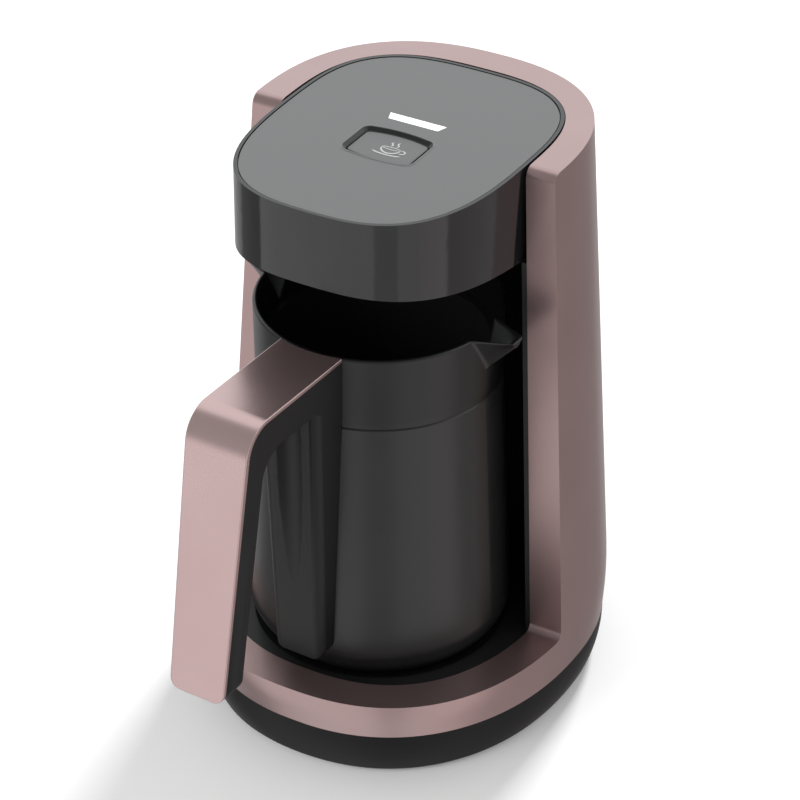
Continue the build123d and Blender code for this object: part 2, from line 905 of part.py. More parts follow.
def cup_seal():
    outer = rim_radius - collar_wall - 0.1
    inner = cup_radius() + 0.15
    ring = rod(0, 0, collar_step_height, outer, seal_height)
    return ring - rod(0, 0, collar_step_height - 1, inner, seal_height + 2)


def heater_plate():
    return rod(0, 0, cup_floor - heater_thickness, heater_radius, heater_thickness)


def heating_element():
    """Horseshoe tube, pressed flat-sided, under the plate, with its cold ends turned down."""
    high = cup_floor - heater_thickness
    low = high - 2 * element_tube
    foot, crown = element_tube, element_tube / 2
    ring = spun([(element_radius - foot, high), (element_radius - crown, low),
                 (element_radius + crown, low), (element_radius + foot, high)])
    ring -= block(0, element_radius, low - 1, 2 * element_mouth, 20, 20)
    end_y = math.sqrt(element_radius ** 2 - element_mouth ** 2)
    for x in (-element_mouth - 1.2, element_mouth + 1.2):
        ring += rod(x, end_y - 0.5, low - 3, 1.1, element_tube + 3)
    return ring


def pot_thermostat():
    z = cup_floor - heater_thickness - sensor_button_height
    body = rod(0, 0, z, sensor_button_radius, sensor_button_height)
    return fillet(body.edges().group_by(Axis.Z)[0], 0.8)


def cover_low():
    return pot_low() + jacket_wall


def pot_base_cover():
    cover = rod(0, 0, cover_low(), belly_radius - pot_bottom_round - 0.5, cover_thickness)
    inner = connector_radius + 0.7 + socket_wall
    cover -= rod(0, 0, cover_low() - 1, inner + 0.2, cover_thickness + 2)
    for x, y in base_cover_screw_places():
        cover += rod(x, y, cover_low(), 3.5, 7)
        cover -= rod(x, y, cover_low() - 1, screw_radius + 0.1, 10)
    return cover


def base_cover_screw_places():
    radius = jacket_opening - 5.0
    return [(radius * math.cos(math.radians(a)), radius * math.sin(math.radians(a)))
            for a in (30, 150, 270)]


def pot_base_screws():
    return group([screw_up(x, y, cover_low(), 6.5) for x, y in base_cover_screw_places()])


def pot_socket():
    """Cup-shaped connector in the pot's underside, with its pin and contact blades."""
    inner = connector_radius + 0.7
    outer = inner + socket_wall
    low = cover_low() - 0.8
    roof = seat_floor + connector_height + 1.4
    body = rod(0, 0, low, outer, roof + 1.6 - low)
    body += rod(0, 0, cover_low() + cover_thickness, socket_flange, socket_flange_thickness)
    body -= rod(0, 0, low - 1, inner, roof - low + 1)
    return body


def socket_pin():
    roof = seat_floor + connector_height + 1.4
    pin = rod(0, 0, roof - pin_length, pin_radius, pin_length)
    return fillet(pin.edges().group_by(Axis.Z)[0], 1.0)


def socket_blades():
    """Two sprung contacts that reach into the connector's ring slot."""
    roof = seat_floor + connector_height + 1.4
    blades = []
    for side in (-1, 1):
        blades.append(block(side * contact_ring_radius, 0, roof - pin_length, 0.8, 5, pin_length))
    return group(blades)


# ================================================================ pot handle
def handle_outline(inset):
    """Outer path of the handle, pulled in by inset: top corner and foot of its outer face."""
    corner = (-(handle_reach_top - inset * 1.2), handle_top - inset)
    foot = (-(handle_reach_foot - inset), handle_foot)
    return corner, foot


def handle_taper(foot_z, foot_half, corner):
    """Front view of the handle: a tall outline that narrows downwards."""
    high = handle_top + 5
    top_half = between(high, foot_z, foot_half, handle_top, strip_top_half)
    points = [(-foot_half, foot_z), (foot_half, foot_z), (top_half, high), (-top_half, high)]
    return front_prism(points, [corner, corner, 0, 0], 0, -2 * handle_reach_foot)


def side_edges(body, z):
    """The edges along +Y on both sides of the handle's bar at height z."""
    edges = body.edges().filter_by(Axis.Y)
    return [edge for edge in edges if abs(edge.center().Z - z) < 0.01 and edge.length > 10]


def handle_strip():
    root = -(seam_radius - 4)
    outer_corner, outer_foot = handle_outline(0)
    inner_corner, inner_foot = handle_outline(strip_thickness)
    points = [(root, handle_top), outer_corner, outer_foot,
              inner_foot, inner_corner, (root, handle_top - strip_thickness)]
    bend = handle_bend_radius
    radii = [0, bend, 0, 0, bend - strip_thickness, 0]
    strip = side_prism(points, radii, 2 * strip_top_half)
    strip &= handle_taper(handle_foot, strip_foot_half, handle_corner)
    strip -= pot_outside(fit_gap)
    return fillet(side_edges(strip, handle_top), strip_edge_round)


def handle_leg():
    """Top bar and free outer leg, with the rounded finger gap behind them."""
    corner, foot = handle_outline(strip_thickness)
    reach_in = handle_reach_foot - leg_thickness
    gap_top = handle_top - bar_thickness
    gap_front = -(between(gap_top, handle_foot, reach_in, handle_top,
                          handle_reach_top - leg_thickness))
    root = -(seam_radius - 4)
    points = [(root, handle_top - strip_thickness), corner, foot, (-reach_in, handle_foot),
              (gap_front, gap_top), (-column_front_top, gap_top), (root, gap_top - 12)]
    radii = [0, handle_bend_radius - strip_thickness, 0, 2.0, gap_round, 0, 0]
    leg = side_prism(points, radii, 2 * strip_top_half)
    leg &= handle_taper(handle_foot, strip_foot_half, handle_corner)
    return fillet(side_edges(leg, gap_top), leg_edge_round)


def column_section(front, half, z):
    """Slice of the column, with rounded corners on its front."""
    root = -(seam_radius - 4)
    points = [(-half, root), (-half, -front), (half, -front), (half, root)]
    radii = [0, column_round, column_round, 0]
    return Pos(0, 0, z) * make_face(FilletPolyline(*points, radius=radii, close=True))


def handle_column():
    """Column that carries the handle down the pot's side."""
    gap_top = handle_top - bar_thickness
    column = loft([column_section(column_front_foot, column_foot_half, column_foot),
                   column_section(column_front_top, column_top_half, gap_top)], ruled=True)
    return column & handle_taper(column_foot, column_foot_half, column_corner)


def handle_body():
    body = handle_leg() + handle_column()
    body -= pot_outside(0.05)
    for z in handle_screw_heights:
        body -= rod_along_y(0, -column_front_foot + 2, z, handle_screw_radius, 20)
    return body


def handle_screws():
    """Screws that hold the handle, driven outwards from inside the jacket."""
    screws = []
    for z in handle_screw_heights:
        face = -(between(z, pot_low(), belly_radius, seam_height, seam_radius)
                 - jacket_wall - 0.4)
        shank = rod_along_y(0, face - handle_screw_length, z, handle_screw_radius,
                            handle_screw_length)
        head = rod_along_y(0, face, z, handle_screw_radius + 1.6, 1.6)
        screws.append(shank + head)
    return group(screws)


def place_pot(piece):
    """The pot's pieces are made round their own axis, then turned and set on the seat."""
    return Pos(0, pot_axis_y, 0) * Rot(0, 0, pot_turn) * piece


# ================================================================ assembly
body_makers = [
    outer_shell, base_pan, rubber_feet, base_screws, cord_gland, seat_deck,
    base_connector, contact_rings, connector_screws, bay_liner, power_board,
    power_board_screws, power_relay, relay_capacitor, terminal_block,
    head_housing, head_underside_cover, head_screws, lid_panel, brew_button,
    switch_body, switch_plunger, light_guide, indicator_lamp, control_board,
    board_screws, buzzer, sensor_window, boil_sensor,
]
pot_makers = [
    pot_cup, pot_jacket, pot_collar, cup_seal, heater_plate, heating_element,
    pot_thermostat, pot_base_cover, pot_base_screws, pot_socket, socket_pin,
    socket_blades, handle_body, handle_strip, handle_screws,
]


def main():
    pieces = {maker.__name__: maker() for maker in body_makers}
    pieces.update({maker.__name__: place_pot(maker()) for maker in pot_makers})
    box = Compound(children=[group([piece]) for piece in pieces.values()]).bounding_box()
    middle = Pos(0, -box.center().Y, 0)
    os.makedirs("parts", exist_ok=True)
    for name, piece in pieces.items():
        export_step(middle * group([piece]), f"parts/{name}.step")
    print("origin moved along y by", round(-box.center().Y, 3))


main()
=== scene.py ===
import math

import bmesh
import bpy
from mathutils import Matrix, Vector


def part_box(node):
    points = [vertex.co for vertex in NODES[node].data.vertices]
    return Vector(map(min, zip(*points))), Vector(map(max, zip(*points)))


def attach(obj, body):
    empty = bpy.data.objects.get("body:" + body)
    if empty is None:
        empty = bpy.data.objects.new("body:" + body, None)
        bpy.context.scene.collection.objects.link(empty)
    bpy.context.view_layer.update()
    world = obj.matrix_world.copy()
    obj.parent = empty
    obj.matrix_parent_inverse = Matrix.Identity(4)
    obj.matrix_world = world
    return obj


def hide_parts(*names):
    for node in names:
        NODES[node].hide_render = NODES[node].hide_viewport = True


# An upright coffee maker: the finishes of its solids, the pieces that are shaped here (shell,
# collar, handle, button frame and mark), and the floor, lights and camera.
# All lengths are in metres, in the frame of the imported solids.

MM = 0.001
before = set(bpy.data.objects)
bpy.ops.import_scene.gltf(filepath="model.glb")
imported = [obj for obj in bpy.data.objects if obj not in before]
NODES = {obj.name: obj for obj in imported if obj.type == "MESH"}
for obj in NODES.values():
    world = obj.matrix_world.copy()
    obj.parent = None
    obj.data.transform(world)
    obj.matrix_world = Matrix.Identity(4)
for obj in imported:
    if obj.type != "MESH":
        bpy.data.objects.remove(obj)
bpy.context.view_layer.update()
HEAD_LOW, HEAD_HIGH = (Vector(corner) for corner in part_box("head_housing"))
SHELL_LOW, SHELL_HIGH = (Vector(corner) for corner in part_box("outer_shell"))
CAP_LOW, CAP_HIGH = (Vector(corner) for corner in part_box("brew_button"))
CAP_CENTRE = (CAP_LOW + CAP_HIGH) / 2
AXIS_Y = CAP_CENTRE.y + 16.5 * MM      # the upright axis that the shell's outlines are round


# ------------------------------------------------------------ shader expressions
class Wave:
    """A value in a finish. Arithmetic on it adds the nodes that work it out."""

    def __init__(self, finish, socket):
        self.finish = finish
        self.socket = socket

    def math(self, operation, *others, first=None):
        terms = [self, *others] if first is None else [first, self]
        return self.finish.node("ShaderNodeMath", {"operation": operation}, dict(enumerate(terms)))

    def __add__(self, other):
        return self.math("ADD", other)

    def __mul__(self, other):
        return self.math("MULTIPLY", other)

    def __sub__(self, other):
        return self.math("SUBTRACT", other)

    def __rsub__(self, other):
        return self.math("SUBTRACT", first=other)

    __radd__ = __add__
    __rmul__ = __mul__

    def above(self, level, blur):
        """0 below the level and 1 above it, with a soft step."""
        return self.finish.node(
            "ShaderNodeMapRange",
            {"interpolation_type": "SMOOTHSTEP"},
            {"Value": self, "From Min": level - blur, "From Max": level + blur},
        )


class Finish:
    """A procedural material built round one Principled shader."""

    def __init__(self, name, **fixed):
        self.material = bpy.data.materials.new(name)
        self.material.use_nodes = True
        self.tree = self.material.node_tree
        self.skin = self.tree.nodes["Principled BSDF"]
        for socket, value in fixed.items():
            self.feed(self.skin.inputs[socket.replace("_", " ")], value)

    def feed(self, socket, value):
        if isinstance(value, Wave):
            self.tree.links.new(value.socket, socket)
        else:
            socket.default_value = value

    def node(self, kind, settings=None, sockets=None, output=0):
        made = self.tree.nodes.new(kind)
        for key, value in (settings or {}).items():
            setattr(made, key, value)
        for key, value in (sockets or {}).items():
            self.feed(made.inputs[key], value)
        return Wave(self, made.outputs[output])

    def place(self, axis=None):
        """Position on the object in metres, or one of its coordinates."""
        spot = self.node("ShaderNodeTexCoord", output="Object")
        if axis is None:
            return spot
        return self.node("ShaderNodeSeparateXYZ", None, {"Vector": spot}, output=axis)

    def noise(self, size, detail=2.0, stretch=(1, 1, 1)):
        """Cloudy pattern with features of about the given size, in metres."""
        spot = self.node("ShaderNodeVectorMath", {"operation": "MULTIPLY"},
                         {0: self.place(), 1: stretch})
        return self.node("ShaderNodeTexNoise", None,
                         {"Vector": spot, "Scale": 1 / size, "Detail": detail})

    def blend(self, mask, low, high):
        """Colour between two others, by a mask from 0 to 1."""
        return self.node("ShaderNodeMix", {"data_type": "RGBA"},
                         {"Factor": mask, 6: low, 7: high}, output=2)

    def bump(self, height, strength, depth):
        """Relief of the given depth in metres, fed to the shader's normal."""
        relief = self.node("ShaderNodeBump", None,
                           {"Height": height, "Strength": strength, "Distance": depth},
                           output="Normal")
        self.feed(self.skin.inputs["Normal"], relief)

    def colour(self, value):
        self.feed(self.skin.inputs["Base Color"], value)

    def roughness(self, value):
        self.feed(self.skin.inputs["Roughness"], value)


def rgb(red, green, blue):
    return (red, green, blue, 1.0)


# ------------------------------------------------------------ finishes
def rose_lacquer(name, deep, light, rough):
    """Satin metallic lacquer with fine flake and a slow drift of tone."""
    made = Finish(name, Metallic=0.86, Coat_Weight=0.35, Coat_Roughness=0.22)
    flake = made.noise(0.8 * MM, 1.0)
    drift = made.noise(38 * MM, 2.0)
    made.colour(made.blend(drift * 0.85 + flake * 0.15, deep, light))
    made.roughness(drift * 0.06 + flake * 0.02 + (rough - 0.04))
    made.bump(drift, 0.05, 0.02 * MM)
    return made.material


def satin_plastic(name, dark, light, rough, grain_size, grain_depth, shine=0.5):
    """Moulded plastic with a fine etched grain and faint handling marks."""
    made = Finish(name, Specular_IOR_Level=shine)
    grain = made.noise(grain_size, 2.0)
    cloud = made.noise(24 * MM, 3.0)
    made.colour(made.blend(cloud * 0.6 + grain * 0.4, dark, light))
    made.roughness(cloud * 0.10 + grain * 0.06 + (rough - 0.08))
    made.bump(grain, 0.25, grain_depth)
    return made.material


def polished_plastic(name, dark, light, rough):
    """Mirror-like dark moulding with a trace of flow and dust."""
    made = Finish(name, Coat_Weight=0.1, Coat_Roughness=0.04)
    flow = made.noise(14 * MM, 2.0, (1, 1, 0.3))
    dust = made.noise(0.6 * MM, 4.0)
    speck = dust.above(0.72, 0.05)
    made.colour(made.blend(flow, dark, light))
    made.roughness(flow * 0.04 + speck * 0.12 + rough)
    made.bump(flow, 0.05, 0.05 * MM)
    return made.material


def steel(name, tone, rough):
    """Brushed metal with a few dull stains."""
    made = Finish(name, Metallic=1.0)
    brush = made.noise(0.3 * MM, 3.0, (1, 1, 6))
    stain = made.noise(9 * MM, 2.0)
    low = rgb(*(0.82 * part for part in tone))
    made.colour(made.blend(stain * 0.5 + brush * 0.5, low, rgb(*tone)))
    made.roughness(brush * 0.15 + stain * 0.08 + (rough - 0.1))
    made.bump(brush, 0.15, 0.02 * MM)
    return made.material


def soft_rubber(name, tone):
    """Matt rubber with a little dust on it."""
    made = Finish(name, Specular_IOR_Level=0.3)
    grain = made.noise(0.5 * MM, 3.0)
    dust = made.noise(6 * MM, 3.0).above(0.6, 0.15)
    grey = rgb(*(part + 0.035 for part in tone))
    made.colour(made.blend(dust * 0.7 + grain * 0.3, rgb(*tone), grey))
    made.roughness(grain * 0.1 + 0.68)
    made.bump(grain, 0.3, 0.05 * MM)
    return made.material


def circuit_board(name):
    """Green lacquered board, where the copper tracks show faintly."""
    made = Finish(name, Coat_Weight=0.2, Coat_Roughness=0.3)
    weave = made.noise(0.8 * MM, 2.0)
    track = made.noise(4.5 * MM, 0.0, (1, 3, 1)).above(0.52, 0.01)
    base = made.blend(weave, rgb(0.015, 0.10, 0.045), rgb(0.03, 0.16, 0.07))
    made.colour(made.blend(track * 0.5, base, rgb(0.05, 0.26, 0.12)))
    made.roughness(weave * 0.1 + 0.38)
    made.bump(track, 0.3, 0.04 * MM)
    return made.material


def red_lens(name):
    """Dark red window that the boil sensor looks through."""
    made = Finish(name, Transmission_Weight=0.5, IOR=1.46, Coat_Weight=0.5)
    haze = made.noise(3 * MM, 2.0)
    made.colour(made.blend(haze, rgb(0.10, 0.006, 0.008), rgb(0.18, 0.012, 0.016)))
    made.roughness(haze * 0.06 + 0.08)
    return made.material


def frosted_light(name):
    """White diffuser bar that glows a little more at its middle."""
    made = Finish(name, Emission_Strength=0.35)
    frost = made.noise(0.8 * MM, 2.0)
    made.colour(made.blend(frost, rgb(0.80, 0.80, 0.79), rgb(0.90, 0.90, 0.89)))
    across = made.place("X") * (1 / (12 * MM))
    glow = 1 - across * across * 0.35
    made.feed(made.skin.inputs["Emission Color"],
              made.blend(glow, rgb(0.75, 0.75, 0.75), rgb(1.0, 1.0, 1.0)))
    made.roughness(frost * 0.1 + 0.35)
    return made.material


ROSE_SHELL = rose_lacquer("rose_shell", rgb(0.37, 0.250, 0.246), rgb(0.45, 0.318, 0.312), 0.33)
ROSE_STRIP = rose_lacquer("rose_strip", rgb(0.50, 0.350, 0.345), rgb(0.60, 0.436, 0.428), 0.26)
BAND = polished_plastic("band_black", rgb(0.010, 0.010, 0.011), rgb(0.018, 0.018, 0.019), 0.10)
LID = satin_plastic("lid_grey", rgb(0.112, 0.112, 0.113), rgb(0.134, 0.134, 0.135),
                    rough=0.42, grain_size=0.35 * MM, grain_depth=0.03 * MM)
BUTTON = satin_plastic("button_grey", rgb(0.106, 0.106, 0.107), rgb(0.126, 0.126, 0.127),
                       rough=0.40, grain_size=0.3 * MM, grain_depth=0.02 * MM)
POT_SKIN = satin_plastic("pot_charcoal", rgb(0.011, 0.011, 0.0113), rgb(0.019, 0.019, 0.0195),
                         rough=0.30, grain_size=0.35 * MM, grain_depth=0.03 * MM)
GRIP = satin_plastic("grip_charcoal", rgb(0.008, 0.008, 0.0083), rgb(0.014, 0.014, 0.0143),
                     rough=0.40, grain_size=0.4 * MM, grain_depth=0.04 * MM, shine=0.24)
COLLAR = satin_plastic("collar_black", rgb(0.006, 0.006, 0.0062), rgb(0.010, 0.010, 0.0102),
                       rough=0.32, grain_size=0.35 * MM, grain_depth=0.02 * MM, shine=0.44)
BAY = satin_plastic("bay_black", rgb(0.010, 0.010, 0.0105), rgb(0.016, 0.016, 0.0165),
                    rough=0.46, grain_size=0.5 * MM, grain_depth=0.04 * MM)
BASE = satin_plastic("base_black", rgb(0.008, 0.008, 0.0083), rgb(0.013, 0.013, 0.0133),
                     rough=0.42, grain_size=0.5 * MM, grain_depth=0.05 * MM, shine=0.12)
CUP = satin_plastic("cup_coating", rgb(0.012, 0.012, 0.012), rgb(0.020, 0.020, 0.020),
                    rough=0.32, grain_size=0.8 * MM, grain_depth=0.03 * MM)
CASE = satin_plastic("component_case", rgb(0.02, 0.02, 0.022), rgb(0.035, 0.035, 0.037),
                     rough=0.5, grain_size=0.5 * MM, grain_depth=0.05 * MM)
BLUE_CASE = satin_plastic("relay_blue", rgb(0.02, 0.06, 0.22), rgb(0.03, 0.09, 0.28),
                          rough=0.45, grain_size=0.5 * MM, grain_depth=0.05 * MM)
WHITE_CASE = satin_plastic("key_white", rgb(0.60, 0.60, 0.58), rgb(0.72, 0.72, 0.70),
                           rough=0.4, grain_size=0.4 * MM, grain_depth=0.03 * MM)
RUBBER = soft_rubber("foot_rubber", (0.018, 0.018, 0.018))
SEAL = soft_rubber("seal_rubber", (0.025, 0.024, 0.024))
ZINC = steel("zinc_steel", (0.62, 0.62, 0.63), 0.35)
TUBE = steel("tinted_steel", (0.34, 0.30, 0.27), 0.40)
HEATER = steel("cast_aluminium", (0.70, 0.70, 0.71), 0.50)
BRASS = steel("contact_brass", (0.80, 0.60, 0.28), 0.28)
BOARD = circuit_board("circuit_board")
LENS = red_lens("sensor_lens")
LIGHT = frosted_light("light_bar")
# Near-black finish for the button's chamfer: painted shade of the groove round the button, over the
# lid's grey bevel.
PAINTED_SHADE_WELL = polished_plastic("chamfer_painted_shade", rgb(0.006, 0.006, 0.006), rgb(0.010, 0.010, 0.010), 0.25)
RIM = satin_plastic("rim_grey", rgb(0.115, 0.115, 0.116), rgb(0.140, 0.140, 0.141),
                    rough=0.28, grain_size=0.3 * MM, grain_depth=0.01 * MM)
MARK = satin_plastic("mark_ink", rgb(0.42, 0.42, 0.42), rgb(0.50, 0.50, 0.50),
                     rough=0.45, grain_size=0.3 * MM, grain_depth=0.01 * MM)

FINISH_OF = {
    "outer_shell": ROSE_SHELL, "handle_strip": ROSE_STRIP, "head_housing": BAND,
    "lid_panel": LID, "brew_button": BUTTON, "light_guide": LIGHT, "indicator_lamp": LIGHT,
    "pot_jacket": POT_SKIN, "pot_collar": COLLAR, "handle_body": GRIP, "pot_cup": CUP,
    "bay_liner": BAY, "seat_deck": BAY, "base_connector": BAY, "head_underside_cover": BAY,
    "base_pan": BASE, "pot_base_cover": BASE, "pot_socket": BASE, "rubber_feet": RUBBER,
    "cord_gland": SEAL, "cup_seal": SEAL, "base_screws": ZINC, "connector_screws": ZINC,
    "power_board_screws": ZINC, "head_screws": ZINC, "board_screws": ZINC,
    "pot_base_screws": ZINC, "handle_screws": ZINC, "heating_element": TUBE,
    "heater_plate": HEATER, "contact_rings": BRASS, "socket_pin": BRASS,
    "socket_blades": BRASS, "power_board": BOARD, "control_board": BOARD,
    "power_relay": BLUE_CASE, "relay_capacitor": CASE, "terminal_block": CASE,
    "switch_body": CASE, "switch_plunger": WHITE_CASE, "buzzer": CASE, "boil_sensor": CASE,
    "pot_thermostat": CASE, "sensor_window": LENS,
}


def dress(piece, material):
    """Gives a piece one finish all over."""
    piece.data.materials.clear()
    piece.data.materials.append(material)


for name, piece in NODES.items():
    dress(piece, FINISH_OF[name])


# ------------------------------------------------------------ straight-sided shell
# Outlines of the shell round its axis: height, half width, front, back, front power, back power.
# A power of 2 gives an ellipse and more is squarer.
RING_HEIGHT = 37.6 * MM
SHELL_SKIN = 2.5 * MM
FOOT_OUTLINE = (SHELL_LOW.z, 75.2 * MM, 88.8 * MM, 78.5 * MM, 2.20, 2.20)
RING_OUTLINE = (RING_HEIGHT, 76.0 * MM, 93.3 * MM, 77.8 * MM, 2.42, 2.29)
TOP_OUTLINE = (SHELL_HIGH.z, 63.7 * MM, 67.8 * MM, 67.8 * MM, 2.38, 2.38)
BAY_RING = (RING_HEIGHT, 62.2 * MM, 78.4 * MM, 65.0 * MM, 2.44, 2.80)
BAY_TOP = (SHELL_HIGH.z, 51.9 * MM, 73.5 * MM, 54.4 * MM, 2.44, 2.80)
END_FACE_RING = -13.6 * MM             # the end faces of the shell's sides lean back
END_FACE_TOP = -7.3 * MM
END_ROUND_RING = 3.6 * MM
END_ROUND_TOP = 4.4 * MM
INNER_ROUND_SHARE = 0.8                # how much tighter the hollow's upper round is, per skin
EDGE_ROUND = 1.0 * MM
EDGE_STEPS = 3
RING_TURN_BELOW = 0.45                 # the wall turns softly at the ring, between these shares
RING_TURN_ABOVE = 0.06                 # of the way up the foot and up the wall
RING_TURN_STEPS = 8
OUTLINE_POINTS = 240
WALL_LEVELS = 20
CUT_SPARE = 1 * MM                     # cutting forms run on past what they cut by this or more
CUTTER_DEPTH = 0.3                     # how far the front's cutting form reaches each way
CUTTER_HALF_WIDTH = 0.2
CUTTER_LIFT = 20 * MM
WELD_GAP = 0.001 * MM                  # points of a solid's mesh nearer than this are one point


def mix(low, high, share):
    """Values part of the way from one list of numbers to another."""
    return [a + (b - a) * share for a, b in zip(low, high)]


def outline_points(section, grow=0.0):
    """Points of a rounded outline at its height, with its own depth and power each way."""
    height, half, front, back, front_power, back_power = section
    points = []
    for step in range(OUTLINE_POINTS):
        turn = 2 * math.pi * (step + 0.5) / OUTLINE_POINTS
        across, along = math.cos(turn), math.sin(turn)
        power, depth = (back_power, back) if along > 0 else (front_power, front)
        reach = (abs(across) ** power + abs(along) ** power) ** (-1 / power)
        points.append(Vector(((half + grow) * across * reach,
                              AXIS_Y + (depth + grow) * along * reach, height)))
    return points


def extended(section, other, height):
    """The outline at another height on the straight walls through two given ones."""
    share = (height - section[0]) / (other[0] - section[0])
    return mix(section[:4], other[:4], share) + mix(section[4:], other[4:], min(max(share, 0), 1))


def mesh_piece(name, form):
    """An object from a bmesh, which is freed."""
    bmesh.ops.recalc_face_normals(form, faces=form.faces)
    mesh = bpy.data.meshes.new(name)
    form.to_mesh(mesh)
    form.free()
    piece = bpy.data.objects.new(name, mesh)
    bpy.context.scene.collection.objects.link(piece)
    return piece


def stitch(form, rows):
    """Faces between each closed row of points and the next."""
    count = len(rows[0])
    for low, high in zip(rows, rows[1:]):
        for i in range(count):
            form.faces.new((low[i], low[(i + 1) % count], high[(i + 1) % count], high[i]))


def close_ends(form, rows):
    form.faces.new(list(reversed(rows[0])))
    form.faces.new(rows[-1])


def loft(name, rings):
    """Closed form through rings that all have the same number of points."""
    form = bmesh.new()
    rows = [[form.verts.new(point) for point in ring] for ring in rings]
    stitch(form, rows)
    close_ends(form, rows)
    return mesh_piece(name, form)


def shell_wall(name, grow, low_extra, high_extra):
    """Outside of the shell: a short foot, a soft turn at the ring, then straight walls."""
    foot = extended(FOOT_OUTLINE, RING_OUTLINE, SHELL_LOW.z - low_extra)
    ring, top = list(RING_OUTLINE), extended(RING_OUTLINE, TOP_OUTLINE, SHELL_HIGH.z + high_extra)
    before, after = mix(foot, ring, RING_TURN_BELOW), mix(ring, top, RING_TURN_ABOVE)
    sections = [foot]
    for step in range(RING_TURN_STEPS + 1):
        share = step / RING_TURN_STEPS
        sections.append(mix(mix(before, ring, share), mix(ring, after, share), share))
    sections += [mix(after, top, step / WALL_LEVELS) for step in range(1, WALL_LEVELS + 1)]
    return loft(name, [outline_points(section, grow) for section in sections])


def bay_form(name, grow, extra):
    """The space behind the pot, which runs right through the shell."""
    low = extended(BAY_RING, BAY_TOP, SHELL_LOW.z - extra)
    high = extended(BAY_RING, BAY_TOP, SHELL_HIGH.z + extra)
    sections = [mix(low, high, step / WALL_LEVELS) for step in range(WALL_LEVELS + 1)]
    return loft(name, [outline_points(section, grow) for section in sections])


def rounded_corner(before, corner, after, radius, steps=8):
    """Points of an arc that rounds one corner of a flat outline."""
    back, ahead = (before - corner).normalized(), (after - corner).normalized()
    half_angle = back.angle(ahead) / 2
    centre = corner + (back + ahead).normalized() * (radius / math.sin(half_angle))
    start = corner + back * (radius / math.tan(half_angle)) - centre
    end = corner + ahead * (radius / math.tan(half_angle)) - centre
    return [centre + start.slerp(end, step / steps) * radius for step in range(steps + 1)]


def front_clearance(name, pull):
    """All that lies in front of the end faces and above the ring or the top."""
    far = CUTTER_DEPTH
    floor, ceiling = RING_HEIGHT - pull, SHELL_HIGH.z - pull
    roof = SHELL_HIGH.z + CUTTER_LIFT
    lean = (END_FACE_TOP - END_FACE_RING) / (SHELL_HIGH.z - RING_HEIGHT)
    foot = Vector((AXIS_Y + END_FACE_RING - lean * pull + pull, floor, 0))
    head = Vector((AXIS_Y + END_FACE_TOP - lean * pull + pull, ceiling, 0))
    side = [Vector((-far, floor, 0))]
    side += rounded_corner(side[0], foot, head, END_ROUND_RING)
    side += rounded_corner(foot, head, Vector((far, ceiling, 0)),
                           END_ROUND_TOP - pull * INNER_ROUND_SHARE)
    side += [Vector((far, ceiling, 0)), Vector((far, roof, 0)), Vector((-far, roof, 0))]
    return loft(name, [[Vector((x, point.x, point.y)) for point in side]
                       for x in (-CUTTER_HALF_WIDTH, CUTTER_HALF_WIDTH)])


def carve(piece, tool):
    """Takes the tool's form away from the piece."""
    cut = piece.modifiers.new("cut " + tool.name, "BOOLEAN")
    cut.operation, cut.solver, cut.object = "DIFFERENCE", "EXACT", tool
    fix_form(piece)
    bpy.data.objects.remove(tool)


def fix_form(piece):
    """Turns the piece's modifiers into plain mesh."""
    shown = piece.evaluated_get(bpy.context.evaluated_depsgraph_get())
    mesh = bpy.data.meshes.new_from_object(shown)
    piece.modifiers.clear()
    piece.data = mesh


def round_edges(piece, width, angle):
    """Rounds the edges that turn by more than the angle in degrees."""
    bevel = piece.modifiers.new("rounded edges", "BEVEL")
    bevel.width, bevel.segments = width, EDGE_STEPS
    bevel.limit_method, bevel.angle_limit = "ANGLE", math.radians(angle)
    fix_form(piece)


def smooth_faces(piece, angle):
    """Smooth shading, except across edges that turn by more than the angle in degrees."""
    piece.data.shade_smooth()
    piece.data.set_sharp_from_angle(angle=math.radians(angle))
    piece.modifiers.new("even shading", "WEIGHTED_NORMAL").keep_sharp = True


def add_straight_shell():
    """Double-walled moulding, open below, with straight sides and leaning end faces."""
    shell = shell_wall("straight_shell", grow=0.0, low_extra=0.0, high_extra=2 * CUT_SPARE)
    carve(shell, front_clearance("front space", pull=0.0))
    carve(shell, bay_form("bay space", grow=0.0, extra=3 * CUT_SPARE))
    round_edges(shell, EDGE_ROUND, angle=28)
    hollow = shell_wall("hollow", grow=-SHELL_SKIN, low_extra=CUT_SPARE, high_extra=2 * CUT_SPARE)
    carve(hollow, front_clearance("front skin", pull=SHELL_SKIN))
    carve(hollow, bay_form("bay skin", grow=SHELL_SKIN, extra=4 * CUT_SPARE))
    carve(shell, hollow)
    smooth_faces(shell, angle=32)
    dress(shell, ROSE_SHELL)
    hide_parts("outer_shell")
    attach(shell, "machine")


# ------------------------------------------------------------ collar with soft spouts
POT_AXIS_Y = sum(Vector(corner).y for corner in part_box("pot_jacket")) / 2
POT_TURN = math.radians(-2.6)          # the pot stands turned a little on its connector
RIM_Z = Vector(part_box("pot_collar")[1]).z
SEAM_Z = RIM_Z - 29.7 * MM
STEP_Z = RIM_Z - 20.5 * MM             # the cup's lip sits on this step
RIM_RADIUS = 47.1 * MM
SEAM_RADIUS = 46.8 * MM
SPIGOT_RADIUS = 44.3 * MM              # the part of the collar inside the jacket
SPIGOT_LENGTH = 6 * MM
THROAT_RADIUS = 42.7 * MM
COLLAR_WALL = 2.0 * MM
SEAM_CHAMFER = 0.5 * MM
LIP_ROUND = 0.9 * MM
LIP_ROUND_STEPS = 4
INNER_CHAMFER = 0.5 * MM
SPOUT_START_Z = SEAM_Z + 4 * MM        # the collar is plain round below this
THROAT_START_Z = STEP_Z + 3.5 * MM     # and inside, below this
THROAT_LIP_Z = RIM_Z - 1 * MM
OUTSIDE_LEVELS = 30
INSIDE_LEVELS = 20
SPOUT_REACH = 60.3 * MM
SPOUT_ROOT = 40.1 * MM
SPOUT_ROOT_HALF = 12.2 * MM
